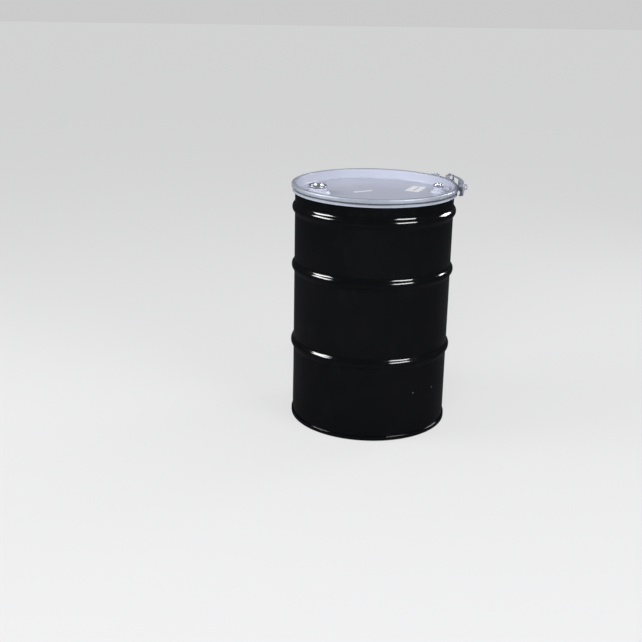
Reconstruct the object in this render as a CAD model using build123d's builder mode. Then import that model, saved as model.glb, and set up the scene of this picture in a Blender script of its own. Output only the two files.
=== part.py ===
"""Open-head steel drum, 208 litres (55 US gallons), with a bunged cover and a lever-lock closing ring.

Millimetres and degrees. The origin is at the centre of the base, on the floor, with +Z up.
The 3/4 inch bung lies towards +X and the 2 inch bung towards -X. The latch is centred at
LATCH_AZ from +X, seen from above, and its pieces are drawn in a frame turned by that angle,
where x runs outwards along the lever pivot's radius and y runs along the ring.
"""

import os
from math import atan2, cos, degrees, radians, sin, sqrt

from build123d import *

# Body shell
SHEET = 1.2                    # steel sheet of the body and the heads
BODY_R = 285.75                # inside radius of the body, 22.5 inches across
CURL_R = 5.2                   # radius of the rolled top edge
CURL_TOP = 878.9               # height of the rolled top edge
CURL_MID_R = BODY_R + CURL_R   # radius of the middle of the rolled top edge
CURL_SWEEP = 285.0             # how far round the top edge is rolled
BEAD_OUT = 9.6                 # how far a rolling bead stands out of the wall
BEAD_HALF = 17.9               # half height of a bead's outline before rounding
BEAD_CREST = 6.7               # half height of a bead's flat before rounding
BEAD_BENDS = (21.0, 17.0, 17.0, 21.0)  # bends of a bead, from its lower foot to its upper foot
BEAD_Z = (290.0, 581.0, 796.0)       # heights of the three beads

# Bottom head and its seam
CHIME_R = 291.5                # outside radius of the seam
CHIME_H = 15.5                 # height of the seam
HEAD_Z = 19.0                  # top of the bottom head at its edge
HEAD_DISH = 6.0                # rise of the bottom head at its centre
DISH_R = (120.0, 262.0)        # where the dish steepens, and where it starts
DISH_SHARE = 0.8               # share of the rise left at the inner of those two
DISH_BENDS = (400.0, 60.0, 5.0)
SEAM_BEND = 2.0                # outer bend of the seam's folds
SEAM_GAP = 0.3                 # between two folds of the seam
SEAM_FIT = 0.15                # between the head's upright wall and the body
HOOK_TOP = 11.0                # top of the body's hook inside the seam
HOOK_FOOT = 3.0                # lowest line of the body's hook
HOOK_BEND = 1.4
HEAD_HOOK_FOOT = 5.6           # lower end of the head's hook
SEALANT_SIZE = (2.4, 1.3)
SEALANT_Z = 2.1
SEALANT_IN = 0.4               # the compound's offset inwards from the seam's middle

# Cover
COVER_TOP = 883.2              # top of the cover's rim
SKIRT_R = 298.0                # outside radius of the cover's skirt
SKIRT_Z = 872.5                # lower edge of the skirt
COVER_WALL_R = 283.0           # inside radius of the recess wall
PANEL_Z = 849.0                # top face of the recessed panel
RIM_BENDS = (4.6, 4.0, 7.0)    # skirt to rim, rim to recess wall, recess wall to panel
WALL_DRAFT = 2.0               # how far the recess wall leans in at its foot
GASKET_T = 2.9                 # squeezed thickness of the cover gasket
GASKET_WIDTH = 5.8
GASKET_IN = 0.7                # the gasket's offset inwards from the middle of the curl

# Bungs
MAIN_X = -207.0
VENT_X = 235.0
MAIN_NECK_R = 33.0             # outside radius of each flange's neck
VENT_NECK_R = 16.4
BUNGS = (                      # name, x, neck, thread and head radius, cup radius, socket across flats
    ("main", MAIN_X, MAIN_NECK_R, 29.8, 33.4, 24.0, 20.0),
    ("vent", VENT_X, VENT_NECK_R, 13.2, 18.6, 10.6, 9.5),
)
BUNG_TOP = 879.0               # top face of both plugs
BOSS_RISE = 11.0               # rise of the embossed seat round each bung
BOSS_FLAT = 7.5                # width of the flat seat round the neck
BOSS_SPREAD = 6.0              # width of the boss's sloping side
BOSS_FOOT = 2.6                # flat run round the boss's foot
WALL_OVERLAP = 0.6             # how far that run laps over the panel that it grows out of
BOSS_BENDS = (3.0, 3.0, 1.6, 1.9)
COLLAR_TOP = 870.6             # top of the crimped collar
CRIMP = 1.6                    # how far the collar's lip turns in over the neck
FACE_GAP = 0.1                 # between two faces that bear on each other
THREAD_GAP = 0.25              # radial clearance of a screwed fit
FLANGE_T = 3.5                 # foot of a flange
FLANGE_SIDES = 8
FLANGE_INSET = 3.5             # from the edge of the boss's flat to the flange's sides
WASHER_INSET = 4.0             # from the edge of the boss's flat to the flange's washer
FLANGE_GASKET_T = 1.5
PLUG_GASKET_T = 2.0
WASHER_FIT = 0.2               # radial clearance inside a washer
HEAD_OVER = 0.8                # how far a plug's head reaches past its washer
PLUG_WALL = 2.2
PLUG_CUP = 6.0                 # depth of a plug's cup
PLUG_FOOT = 856.0              # lower end of a plug's thread
PLUG_EDGE = 1.6                # rounding of a plug's upper edges
CUP_DRAFT = 1.5                # how far the cup's wall leans in
SOCKET_DEPTH = 7.0             # depth of the square socket under the cup
SOCKET_FLOOR = 2.0
SOCKET_CORNER = 1.5

# Closing ring
RING_T = 1.6
RING_TOP = 885.0
RING_LEG_R = 289.0             # inner edge of the top leg
RING_R = 300.4                 # outside radius of the ring's web
GROOVE_R = 294.0               # outside radius of the groove under the curl
GROOVE_Z = 866.4
HEM_R = 297.4                  # outside radius of the flared lower hem
HEM_Z = 857.0
WEB_FOOT = 871.0               # lower end of the ring's upright web
RING_BENDS = (5.4, 3.0, 2.6)

# Latch
LATCH_AZ = 18.0                # lever pivot's direction from +X
GAP_FROM, GAP_TO = 4.0, 8.0    # the ring's gap, from the lever pivot's radius
PLATE = 2.0                    # bracket plate
WELD_SINK = 0.4                # how far a flat root is let into the curved plate that it is welded to
BRACKET_ARC = (-4.0, 1.2)      # directions of the lever bracket's ends
LEVER_T = 1.8                  # lever sheet
LEVER_Z = (861.0, 898.0)       # outer faces of the lever's two flanges
LEVER_BEND = 3.0               # outside bend between the lever's web and its flanges
LEVER_CORNER = 7.0             # rounding of the flanges at the free end
EAR_Z = (864.5, 894.5)         # outer faces of the bracket's two ears
PIVOT = (314.0, 0.0)           # lever pivot
LINK_PIVOT = (311.0, -29.7)    # pin that joins the link to the lever
HOOK_POINT = (303.0, 68.0)     # crossbar that the keeper holds
PIN_R = 3.0
RIVET_HEAD = 1.3               # thickness of a rivet's head
RIVET_HEAD_R = 4.8
RIVET_EDGE = 0.9               # rounding of a rivet's head
EAR_FIT = 0.02                 # radial clearance of a rivet in the ears
EAR_R = 7.5                    # rounding of the ears about the pivot
EYE_R = 5.5                    # outside radius of the link's eyes
RUN_GAP = 0.1                  # radial clearance of a running fit
HOOK_GAP = 0.9                 # clearance between the crossbar and the keeper
CROSSBAR_OVER = 0.5            # how far the crossbar stands past the keeper at each end
CROSSBAR_EDGE = 0.6
LINK_Z = (870.5, 882.5)
LINK_T = 2.5
KEEPER_Z = (864.0, 889.0)
KEEPER_T = 3.0
KEEPER_OVER = 6.0              # how far the keeper's flange reaches past the crossbar's middle
KEEPER_ARC = (1.0, 9.0)        # ends of the keeper's plate, past the ring's gap
KEEPER_CORNER = 3.5
NOTCH_FLOOR_R = 297.8
NOTCH_MARGIN = 1.3             # room above and below the link in the keeper's notch
NOTCH_CORNER = 2.5
LEVER_WEB_R = 321.0            # outside radius of the lever's web
LEVER_FLANGE_R = 306.0         # inner edge of the lever's flanges
LEVER_END = -43.0              # direction of the lever's free end
GRIP_LENGTH = 15.0             # finger tab at the lever's free end
GRIP_TURN = 24.0
GRIP_Z = (866.0, 893.0)
WINDOW_END = -11.0             # where the lever's web starts, past the open window
PIVOT_CLEAR = 4.0              # direction past the rounded ends of the flanges
STAPLE_AZ = -26.0
STAPLE_FOOT = 2.2              # half angle of the tongue's foot
STAPLE_CORNER = 5.0
SLOT_MARGIN = 1.2              # room above and below the tongue in the lever's slot
SLOT_ARC = (-1.25, 0.6)        # ends of the slot, from the tongue's direction
STAPLE_T = 3.0
STAPLE_Z = (866.0, 887.0)
STAPLE_OUT = 334.0
STAPLE_HOLE_R = 4.0
STAPLE_HOLE_AT = 327.5

OVERCUT = 1.0                  # how far a cut runs past the face that it opens
BEYOND = 400.0                 # a radius outside everything

# Labels: name, centre, turn, length, width
LABEL_T = 0.25
LABEL_CORNER = 1.5
LABELS = (
    ("label_strip", -37.0, 26.0, 23.0, 78.0, 17.0),
    ("label_card", 166.0, 64.0, 59.0, 100.0, 55.0),
)


def save(piece, name):
    """Labels a finished piece and writes its file."""
    piece.part.label = name
    export_step(piece.part, f"parts/{name}.step")


def latch_plane(z, turn=0.0):
    """Horizontal plane of the latch's frame at height z, turned further by an angle about the drum's axis."""
    return Plane.XY.rotated((0, 0, LATCH_AZ + turn)).offset(z)


def height(span):
    """Length of a span of heights."""
    return span[1] - span[0]


def make_body_shell():
    """Rolled wall with three beads, the curl at the top and the seam hook at the bottom."""
    hook_r = CHIME_R - SHEET - SEAM_GAP
    crest_r = BODY_R + BEAD_OUT
    path = [(hook_r, HOOK_TOP), (hook_r, HOOK_FOOT), (BODY_R, HOOK_FOOT)]
    radii = [HOOK_BEND, HOOK_BEND]
    for z in BEAD_Z:
        path += [(BODY_R, z - BEAD_HALF), (crest_r, z - BEAD_CREST)]
        path += [(crest_r, z + BEAD_CREST), (BODY_R, z + BEAD_HALF)]
        radii += BEAD_BENDS
    curl_start = (BODY_R, CURL_TOP - CURL_R)
    with BuildPart() as shell:
        with BuildSketch(Plane.XZ):
            with BuildLine():
                FilletPolyline(*path, curl_start, radius=radii)
                JernArc(curl_start, (0, 1), CURL_R, -CURL_SWEEP)
                offset(amount=SHEET, side=Side.RIGHT)
            make_face()
        revolve(axis=Axis.Z)
    return shell


def make_bottom_head():
    """Pressed disc, a little domed, whose edge wraps the body's hook into the bottom seam."""
    wall_r = BODY_R - SEAM_FIT - SHEET
    hook_r = BODY_R + SHEET + SEAM_GAP
    underside = HEAD_Z - SHEET
    steep_r, start_r = DISH_R
    disc = [
        (0, underside + HEAD_DISH),
        (steep_r, underside + DISH_SHARE * HEAD_DISH),
        (start_r, underside),
        (wall_r, underside),
    ]
    seam = [(wall_r, 0), (CHIME_R, 0), (CHIME_R, CHIME_H), (hook_r, CHIME_H), (hook_r, HEAD_HOOK_FOOT)]
    hook_bend = SEAM_BEND - 0.5 * SEAM_GAP
    radii = [*DISH_BENDS, SEAM_BEND, SEAM_BEND, SEAM_BEND, hook_bend]
    with BuildPart() as head:
        with BuildSketch(Plane.XZ):
            with BuildLine():
                FilletPolyline(*disc, *seam, radius=radii)
                offset(amount=SHEET, side=Side.LEFT)
            make_face()
        revolve(axis=Axis.Z)
    return head


def make_chime_sealant():
    """Seaming compound packed between the head and the foot of the body's hook."""
    with BuildPart() as sealant:
        with BuildSketch(Plane.XZ):
            with Locations((0.5 * (BODY_R + CHIME_R) - SEALANT_IN, SEALANT_Z)):
                Rectangle(*SEALANT_SIZE)
        revolve(axis=Axis.Z)
    return sealant


def make_lid_panel():
    """Cover: a skirt and rim over the body's curl, a deep recess, and an embossed seat with a crimped
    collar round each bung."""
    rim = [(SKIRT_R, SKIRT_Z), (SKIRT_R, COVER_TOP), (COVER_WALL_R, COVER_TOP)]
    recess = [(COVER_WALL_R - WALL_DRAFT, PANEL_Z), (0, PANEL_Z)]
    with BuildPart() as lid:
        with BuildSketch(Plane.XZ):
            with BuildLine():
                FilletPolyline(*rim, *recess, radius=RIM_BENDS)
                offset(amount=SHEET, side=Side.LEFT)
            make_face()
        revolve(axis=Axis.Z)
        for bung, x, neck_r, *plug_sizes in BUNGS:
            with BuildSketch(Plane.XY.offset(PANEL_Z)):
                with Locations((x, 0)):
                    Circle(boss_radius(neck_r) + BOSS_SPREAD + BOSS_FOOT - WALL_OVERLAP)
            extrude(amount=-SHEET, mode=Mode.SUBTRACT)
            axis_plane = Plane((x, 0, 0), x_dir=(1, 0, 0), z_dir=(0, -1, 0))
            with BuildSketch(axis_plane):
                with BuildLine():
                    FilletPolyline(*boss_path(neck_r), radius=BOSS_BENDS)
                    offset(amount=SHEET, side=Side.LEFT)
                make_face()
            revolve(axis=Axis((x, 0, 0), (0, 0, 1)))
    return lid


def boss_radius(neck_r):
    """Radius of the flat seat on top of the boss."""
    return neck_r + BOSS_FLAT


def boss_path(neck_r):
    """Upper surface of a boss, from the panel to the crimped lip, as distance from the bung and height."""
    seat_z = PANEL_Z + BOSS_RISE
    collar_r = neck_r + RUN_GAP + SHEET
    return [
        (boss_radius(neck_r) + BOSS_SPREAD + BOSS_FOOT, PANEL_Z),
        (boss_radius(neck_r) + BOSS_SPREAD, PANEL_Z),
        (boss_radius(neck_r), seat_z),
        (collar_r, seat_z),
        (collar_r, COLLAR_TOP),
        (neck_r - CRIMP, COLLAR_TOP),
    ]


def make_lid_gasket():
    """Flat ring of sponge rubber squeezed between the cover's rim and the body's curl."""
    with BuildPart() as gasket:
        with BuildSketch(Plane.XZ):
            with Locations((CURL_MID_R - GASKET_IN, COVER_TOP - SHEET - GASKET_T / 2)):
                RectangleRounded(GASKET_WIDTH, GASKET_T, GASKET_T / 3)
        revolve(axis=Axis.Z)
    return gasket


def make_flange(x, neck_r, thread_r):
    """Screwed flange held by the crimped collar: an eight-sided foot under the cover and a threaded neck."""
    seat = PANEL_Z + BOSS_RISE - SHEET - FLANGE_GASKET_T
    with BuildPart() as flange:
        with BuildSketch(Plane.XY.offset(seat - FLANGE_T)):
            with Locations((x, 0)):
                RegularPolygon(boss_radius(neck_r) - FLANGE_INSET, FLANGE_SIDES, major_radius=False,
                               rotation=180 / FLANGE_SIDES)
        extrude(amount=FLANGE_T)
        with BuildSketch(Plane.XY.offset(seat)):
            with Locations((x, 0)):
                Circle(neck_r)
        extrude(amount=COLLAR_TOP - SHEET - FACE_GAP - seat)
        neck_edge = flange.edges().filter_by(GeomType.CIRCLE).sort_by(Axis.Z)[-1]
        fillet(neck_edge, SHEET - 0.2)
        with BuildSketch(Plane.XY.offset(seat - FLANGE_T)):
            with Locations((x, 0)):
                Circle(thread_r + THREAD_GAP)
        extrude(amount=COLLAR_TOP - seat + FLANGE_T, mode=Mode.SUBTRACT)
    return flange


def make_ring_gasket(x, z, inner_r, outer_r, thickness):
    """Flat rubber washer lying at height z round a bung."""
    with BuildPart() as washer:
        with BuildSketch(Plane.XY.offset(z)):
            with Locations((x, 0)):
                Circle(outer_r)
                Circle(inner_r, mode=Mode.SUBTRACT)
        extrude(amount=thickness)
    return washer


def make_plug(x, thread_r, head_r, cup_r, socket):
    """Pressed plug: a flat flanged head, a dished cup with a square socket, and a hollow threaded skirt."""
    head_under = COLLAR_TOP + PLUG_GASKET_T + FACE_GAP
    cup_floor = BUNG_TOP - PLUG_CUP
    path = [
        (0, cup_floor),
        (cup_r - CUP_DRAFT, cup_floor),
        (cup_r, BUNG_TOP),
        (head_r, BUNG_TOP),
        (head_r, head_under),
        (thread_r, head_under),
        (thread_r, PLUG_FOOT),
        (thread_r - PLUG_WALL, PLUG_FOOT),
        (thread_r - PLUG_WALL, cup_floor - PLUG_WALL),
        (0, cup_floor - PLUG_WALL),
    ]
    plane = Plane((x, 0, 0), x_dir=(1, 0, 0), z_dir=(0, -1, 0))
    with BuildPart() as plug:
        with BuildSketch(plane) as section:
            with BuildLine():
                Polyline(*path, close=True)
            make_face()
            corners = section.vertices().group_by(Axis.Y)[-1]
            fillet(corners, PLUG_EDGE)
        revolve(axis=Axis((x, 0, 0), (0, 0, 1)))
        with BuildSketch(Plane.XY.offset(cup_floor - PLUG_WALL)):
            with Locations((x, 0)):
                RectangleRounded(socket + 2 * PLUG_WALL, socket + 2 * PLUG_WALL, 2 * SOCKET_CORNER)
        extrude(amount=-(SOCKET_DEPTH - PLUG_WALL + SOCKET_FLOOR))
        with BuildSketch(Plane.XY.offset(cup_floor)):
            with Locations((x, 0)):
                RectangleRounded(socket, socket, SOCKET_CORNER)
        extrude(amount=-SOCKET_DEPTH, mode=Mode.SUBTRACT)
    return plug


def make_ring_band():
    """Closing ring: a sprung C-section that draws the cover's rim down onto the curl, open at the latch."""
    path = [
        (RING_LEG_R, RING_TOP),
        (RING_R, RING_TOP),
        (RING_R, WEB_FOOT),
        (GROOVE_R, GROOVE_Z),
        (HEM_R, HEM_Z),
    ]
    with BuildPart() as band:
        with BuildSketch(Plane.XZ):
            with BuildLine():
                FilletPolyline(*path, radius=RING_BENDS)
                offset(amount=RING_T, side=Side.RIGHT)
            make_face()
        revolve(axis=Axis.Z)
        with BuildSketch(latch_plane(HEM_Z - OVERCUT)):
            with BuildLine():
                Polyline((0, 0), polar(BEYOND, GAP_FROM), polar(BEYOND, GAP_TO), close=True)
            make_face()
        extrude(amount=RING_TOP - HEM_Z + 2 * OVERCUT, mode=Mode.SUBTRACT)
    return band


def polar(radius, angle):
    """Point of a horizontal sketch at a distance and direction from the drum's axis."""
    return (radius * cos(radians(angle)), radius * sin(radians(angle)))


def add_arc_plate(inner_r, outer_r, start, end, span, mode=Mode.ADD):
    """Piece of a ring wall between two directions of the latch's frame and two heights."""
    with BuildSketch(latch_plane(span[0])) as sector:
        with BuildLine():
            far = CenterArc((0, 0), outer_r, start, end - start)
            near = CenterArc((0, 0), inner_r, start, end - start)
            Line(far @ 0, near @ 0)
            Line(far @ 1, near @ 1)
        make_face()
    extrude(sector.sketch, amount=height(span), mode=mode)


def add_disc(centre, radius, span, mode=Mode.ADD):
    """Upright cylinder of the latch's frame between two heights."""
    with BuildSketch(latch_plane(span[0])) as disc:
        with Locations(centre):
            Circle(radius)
    extrude(disc.sketch, amount=height(span), mode=mode)


def inner_span(span, inset):
    """Span of heights drawn in at both ends."""
    return (span[0] + inset, span[1] - inset)


def make_lever_bracket():
    """Plate welded to the ring's web, with an ear above and below that carry the lever's pivot."""
    ear_low = (EAR_Z[0], EAR_Z[0] + PLATE)
    ear_high = (EAR_Z[1] - PLATE, EAR_Z[1])
    with BuildPart() as bracket:
        add_arc_plate(RING_R, RING_R + PLATE, *BRACKET_ARC, EAR_Z)
        for span in (ear_low, ear_high):
            with BuildSketch(latch_plane(span[0])):
                with BuildLine():
                    roots = [polar(RING_R + WELD_SINK, end) for end in BRACKET_ARC]
                    Polyline(roots[0], (PIVOT[0], -EAR_R), (PIVOT[0], EAR_R), roots[1], close=True)
                make_face()
                with Locations(PIVOT):
                    Circle(EAR_R)
            extrude(amount=PLATE)
        add_disc(PIVOT, PIN_R + EAR_FIT, EAR_Z, mode=Mode.SUBTRACT)
    return bracket


def make_pivot_rivets():
    """Two stub rivets, one through each flange of the lever and the ear inside it."""
    with BuildPart() as rivets:
        for flange_face, ear_face in ((LEVER_Z[1], EAR_Z[1] - PLATE), (LEVER_Z[0], EAR_Z[0] + PLATE)):
            up = 1 if flange_face > ear_face else -1
            outside = (flange_face + FACE_GAP * up, flange_face + (FACE_GAP + RIVET_HEAD) * up)
            inside = (ear_face, ear_face - RIVET_HEAD * up)
            add_disc(PIVOT, PIN_R, sorted((outside[0], inside[0])))
            add_disc(PIVOT, RIVET_HEAD_R, sorted(outside))
            add_disc(PIVOT, RIVET_HEAD_R, sorted(inside))
        rims = rivets.edges().filter_by(GeomType.CIRCLE)
        ends = rims.group_by(Axis.Z)[-1] + rims.group_by(Axis.Z)[0]
        fillet(ends, RIVET_EDGE)
    return rivets


def upright_plane(y, turn=0.0):
    """Upright plane across the ring at a distance along the latch frame's y axis: x outwards, y up."""
    base = latch_plane(0, turn)
    return Plane(base.origin + base.y_dir * y, x_dir=base.x_dir, z_dir=-base.y_dir)


def make_keeper_bracket():
    """Plate welded to the ring's far end, with a notched flange that the link's crossbar hooks behind."""
    rear = HOOK_POINT[1] - PIN_R - HOOK_GAP
    root = sqrt(RING_R ** 2 - (rear - KEEPER_T) ** 2) + WELD_SINK
    outer = HOOK_POINT[0] + KEEPER_OVER
    middle_z = sum(KEEPER_Z) / 2
    with BuildPart() as keeper:
        add_arc_plate(RING_R, RING_R + PLATE, GAP_TO + KEEPER_ARC[0], GAP_TO + KEEPER_ARC[1], KEEPER_Z)
        with BuildSketch(upright_plane(rear)) as flange:
            with Locations(((root + outer) / 2, middle_z)):
                Rectangle(outer - root, height(KEEPER_Z))
            fillet(flange.vertices().group_by(Axis.X)[-1], KEEPER_CORNER)
            notch = (2 * (outer - NOTCH_FLOOR_R), height(LINK_Z) + 2 * NOTCH_MARGIN)
            with Locations((outer, middle_z)):
                RectangleRounded(*notch, NOTCH_CORNER, mode=Mode.SUBTRACT)
        extrude(amount=KEEPER_T)
    return keeper


def make_lever():
    """Channel-section lever curved like the ring, its two arms open near the pivot to pass the link."""
    with BuildPart() as lever:
        add_arc_plate(LEVER_FLANGE_R, LEVER_WEB_R, LEVER_END, 0.0, LEVER_Z)
        arcs = lever.edges().filter_by(GeomType.CIRCLE)
        fillet(arcs.filter_by(lambda e: e.radius > LEVER_WEB_R - LEVER_T), LEVER_BEND)
        add_disc(PIVOT, PIVOT[0] - LEVER_FLANGE_R, LEVER_Z)
        hollow = inner_span(LEVER_Z, LEVER_T)
        inside_r = LEVER_FLANGE_R - OVERCUT
        first, last = LEVER_END - OVERCUT, PIVOT_CLEAR
        add_arc_plate(inside_r, LEVER_WEB_R - LEVER_T, first, last, hollow, Mode.SUBTRACT)
        add_arc_plate(inside_r, PIVOT[0] + LEVER_T + EAR_R, WINDOW_END, last, hollow, Mode.SUBTRACT)
        add_arc_plate(LEVER_WEB_R - LEVER_T - OVERCUT, LEVER_WEB_R + OVERCUT, STAPLE_AZ + SLOT_ARC[0],
                      STAPLE_AZ + SLOT_ARC[1], inner_span(STAPLE_Z, -SLOT_MARGIN), Mode.SUBTRACT)
        for point in (PIVOT, LINK_PIVOT):
            add_disc(point, PIN_R + RUN_GAP, LEVER_Z, mode=Mode.SUBTRACT)
        end_corners = lever.edges().filter_by(Axis.Z).sort_by(lambda e: flange_end_distance(e.center()))[:2]
        fillet(end_corners, LEVER_CORNER)
        with BuildSketch(latch_plane(GRIP_Z[0])):
            with Locations(Location(polar(LEVER_WEB_R - LEVER_T / 2, LEVER_END), LEVER_END - 90 + GRIP_TURN)):
                with Locations((GRIP_LENGTH / 2, 0)):
                    Rectangle(GRIP_LENGTH + LEVER_T, LEVER_T)
        extrude(amount=height(GRIP_Z))
    return lever


def flange_end_distance(point):
    """Distance of a point from the inner corner of the lever's flanges at its free end."""
    x, y = polar(LEVER_FLANGE_R, LATCH_AZ + LEVER_END)
    return sqrt((point.X - x) ** 2 + (point.Y - y) ** 2)


def make_link_pin():
    """Headed rivet through both flanges of the lever, on which the link turns."""
    top = (LEVER_Z[1] + FACE_GAP, LEVER_Z[1] + FACE_GAP + RIVET_HEAD)
    foot = (LEVER_Z[0] - FACE_GAP - RIVET_HEAD, LEVER_Z[0] - FACE_GAP)
    with BuildPart() as pin:
        add_disc(LINK_PIVOT, PIN_R, (foot[1], top[0]))
        add_disc(LINK_PIVOT, RIVET_HEAD_R, top)
        add_disc(LINK_PIVOT, RIVET_HEAD_R, foot)
        rims = pin.edges().filter_by(GeomType.CIRCLE)
        fillet(rims.group_by(Axis.Z)[-1] + rims.group_by(Axis.Z)[0], RIVET_EDGE)
    return pin


def make_link_strap():
    """Flat link with an eye at each end, drawn between the lever's pin and the crossbar."""
    run = (HOOK_POINT[0] - LINK_PIVOT[0], HOOK_POINT[1] - LINK_PIVOT[1])
    middle = ((HOOK_POINT[0] + LINK_PIVOT[0]) / 2, (HOOK_POINT[1] + LINK_PIVOT[1]) / 2)
    with BuildPart() as link:
        with BuildSketch(latch_plane(LINK_Z[0])):
            with Locations(Location(middle, degrees(atan2(run[1], run[0])))):
                Rectangle(sqrt(run[0] ** 2 + run[1] ** 2), LINK_T)
            with Locations(LINK_PIVOT, HOOK_POINT):
                Circle(EYE_R)
            with Locations(LINK_PIVOT, HOOK_POINT):
                Circle(PIN_R + RUN_GAP, mode=Mode.SUBTRACT)
        extrude(amount=height(LINK_Z))
    return link


def make_link_crossbar():
    """Headed pin across the link's far eye, which bears on the keeper above and below the link."""
    span = inner_span(KEEPER_Z, -CROSSBAR_OVER)
    with BuildPart() as bar:
        add_disc(HOOK_POINT, PIN_R + RUN_GAP, LINK_Z)
        add_disc(HOOK_POINT, PIN_R, span)
        rims = bar.edges().filter_by(GeomType.CIRCLE)
        chamfer(rims.group_by(Axis.Z)[-1] + rims.group_by(Axis.Z)[0], CROSSBAR_EDGE)
    return bar


def make_hasp_staple():
    """Foot and upright plate on the ring that stand out through the lever's slot, drilled for a seal."""
    middle_z = sum(STAPLE_Z) / 2
    root = RING_R + WELD_SINK
    with BuildPart() as staple:
        add_arc_plate(RING_R, RING_R + PLATE, STAPLE_AZ - STAPLE_FOOT, STAPLE_AZ + STAPLE_FOOT, STAPLE_Z)
        with BuildSketch(upright_plane(STAPLE_T / 2, STAPLE_AZ)) as tongue:
            with Locations(((root + STAPLE_OUT) / 2, middle_z)):
                Rectangle(STAPLE_OUT - root, height(STAPLE_Z))
            fillet(tongue.vertices().group_by(Axis.X)[-1], STAPLE_CORNER)
            with Locations((STAPLE_HOLE_AT, middle_z)):
                Circle(STAPLE_HOLE_R, mode=Mode.SUBTRACT)
        extrude(amount=STAPLE_T)
    return staple


def make_label(x, y, turn, length, width):
    """Blank paper label stuck to the panel."""
    with BuildPart() as label:
        with BuildSketch(Plane.XY.offset(PANEL_Z)):
            with Locations(Location((x, y), turn)):
                RectangleRounded(length, width, LABEL_CORNER)
        extrude(amount=LABEL_T)
    return label


os.makedirs("parts", exist_ok=True)
save(make_body_shell(), "body_shell")
save(make_bottom_head(), "bottom_head")
save(make_chime_sealant(), "chime_sealant")
save(make_lid_panel(), "lid_panel")
save(make_lid_gasket(), "lid_gasket")

flange_seat = PANEL_Z + BOSS_RISE - SHEET - FLANGE_GASKET_T
for bung, x, neck_r, thread_r, head_r, cup_r, socket in BUNGS:
    save(make_flange(x, neck_r, thread_r), f"{bung}_flange")
    foot_washer_r = boss_radius(neck_r) - WASHER_INSET
    foot_washer = make_ring_gasket(x, flange_seat, neck_r + WASHER_FIT, foot_washer_r, FLANGE_GASKET_T)
    save(foot_washer, f"{bung}_flange_gasket")
    save(make_plug(x, thread_r, head_r, cup_r, socket), f"{bung}_plug")
    head_washer = make_ring_gasket(x, COLLAR_TOP, thread_r + WASHER_FIT, head_r - HEAD_OVER, PLUG_GASKET_T)
    save(head_washer, f"{bung}_plug_gasket")

save(make_ring_band(), "ring_band")
save(make_lever_bracket(), "lever_bracket")
save(make_pivot_rivets(), "pivot_rivets")
save(make_keeper_bracket(), "keeper_bracket")
save(make_hasp_staple(), "hasp_staple")
save(make_lever(), "lever")
save(make_link_pin(), "link_pin")
save(make_link_strap(), "link_strap")
save(make_link_crossbar(), "link_crossbar")

for label, x, y, turn, length, width in LABELS:
    save(make_label(x, y, turn, length, width), label)
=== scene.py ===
"""Looks of an open-head 208 litre steel drum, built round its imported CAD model.

Metres and radians, in the CAD frame: the origin is on the floor at the centre of the base, and Z is up.
The sheet pieces are drawn as outlines of radius and height and turned about the drum's axis.
"""

from math import atan2, ceil, cos, exp, floor, pi, radians, sin, tan

import bmesh
import bpy
from mathutils import Matrix, Vector, noise
from mathutils.geometry import delaunay_2d_cdt


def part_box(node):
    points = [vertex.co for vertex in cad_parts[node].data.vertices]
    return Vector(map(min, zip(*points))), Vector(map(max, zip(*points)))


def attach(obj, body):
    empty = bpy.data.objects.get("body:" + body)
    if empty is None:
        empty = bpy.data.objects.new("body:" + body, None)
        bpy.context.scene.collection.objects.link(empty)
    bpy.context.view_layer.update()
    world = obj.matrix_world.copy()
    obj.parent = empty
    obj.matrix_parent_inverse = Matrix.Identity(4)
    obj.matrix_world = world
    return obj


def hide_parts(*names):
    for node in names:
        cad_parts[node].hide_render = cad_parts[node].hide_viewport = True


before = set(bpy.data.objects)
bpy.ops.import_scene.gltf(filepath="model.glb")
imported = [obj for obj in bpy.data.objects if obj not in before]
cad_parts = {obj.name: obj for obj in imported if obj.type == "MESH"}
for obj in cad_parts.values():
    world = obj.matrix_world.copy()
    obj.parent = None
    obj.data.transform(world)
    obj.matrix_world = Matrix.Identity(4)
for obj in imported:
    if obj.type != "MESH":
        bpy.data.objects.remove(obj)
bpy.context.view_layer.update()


def size_of(node):
    """Radius, lowest and highest point of a CAD node that is round about an upright axis."""
    low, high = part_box(node)
    return 0.5 * (high.x - low.x), low.z, high.z


def middle_of(node):
    """Middle of a CAD node on the plan."""
    low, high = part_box(node)
    return Vector((0.5 * (low.x + high.x), 0.5 * (low.y + high.y)))


# Body and bottom
SHEET = 0.0012
CREST_R, BODY_FOOT, CURL_TOP = size_of("body_shell")
BEAD_OUT = 0.0096              # how far a bead stands out of the wall
BODY_R = CREST_R - SHEET - BEAD_OUT
CURL_R = 0.0052
CURL_SWEEP = radians(285)
CURL_STEPS = 30
BEAD_HALF, BEAD_CREST = 0.0179, 0.0067   # half heights of a bead, at the wall and at its crest
BEAD_BENDS = (0.021, 0.017, 0.017, 0.021)
BEAD_Z = (0.290, 0.581, 0.796)
HOOK_TOP, HOOK_BEND = 0.011, 0.0014      # the wall's foot, folded into the bottom seam
CHIME_R, _, HEAD_TOP = size_of("bottom_head")
CHIME_H = 0.0155
HEAD_DISH = 0.006
HEAD_EDGE = HEAD_TOP - HEAD_DISH - SHEET   # underside of the bottom at its edge
HEAD_FOLD_END = 0.0056         # height at which the bottom's edge ends inside the seam
SEAM_GAP = 0.0003
WALL_GAP = 0.00015             # between the bottom's upright edge and the wall
CHIME_KNOCKS, CHIME_OUTSIDE = 0.00012, (0.289, 0.2912)   # depth, and radii over which they set in

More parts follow.
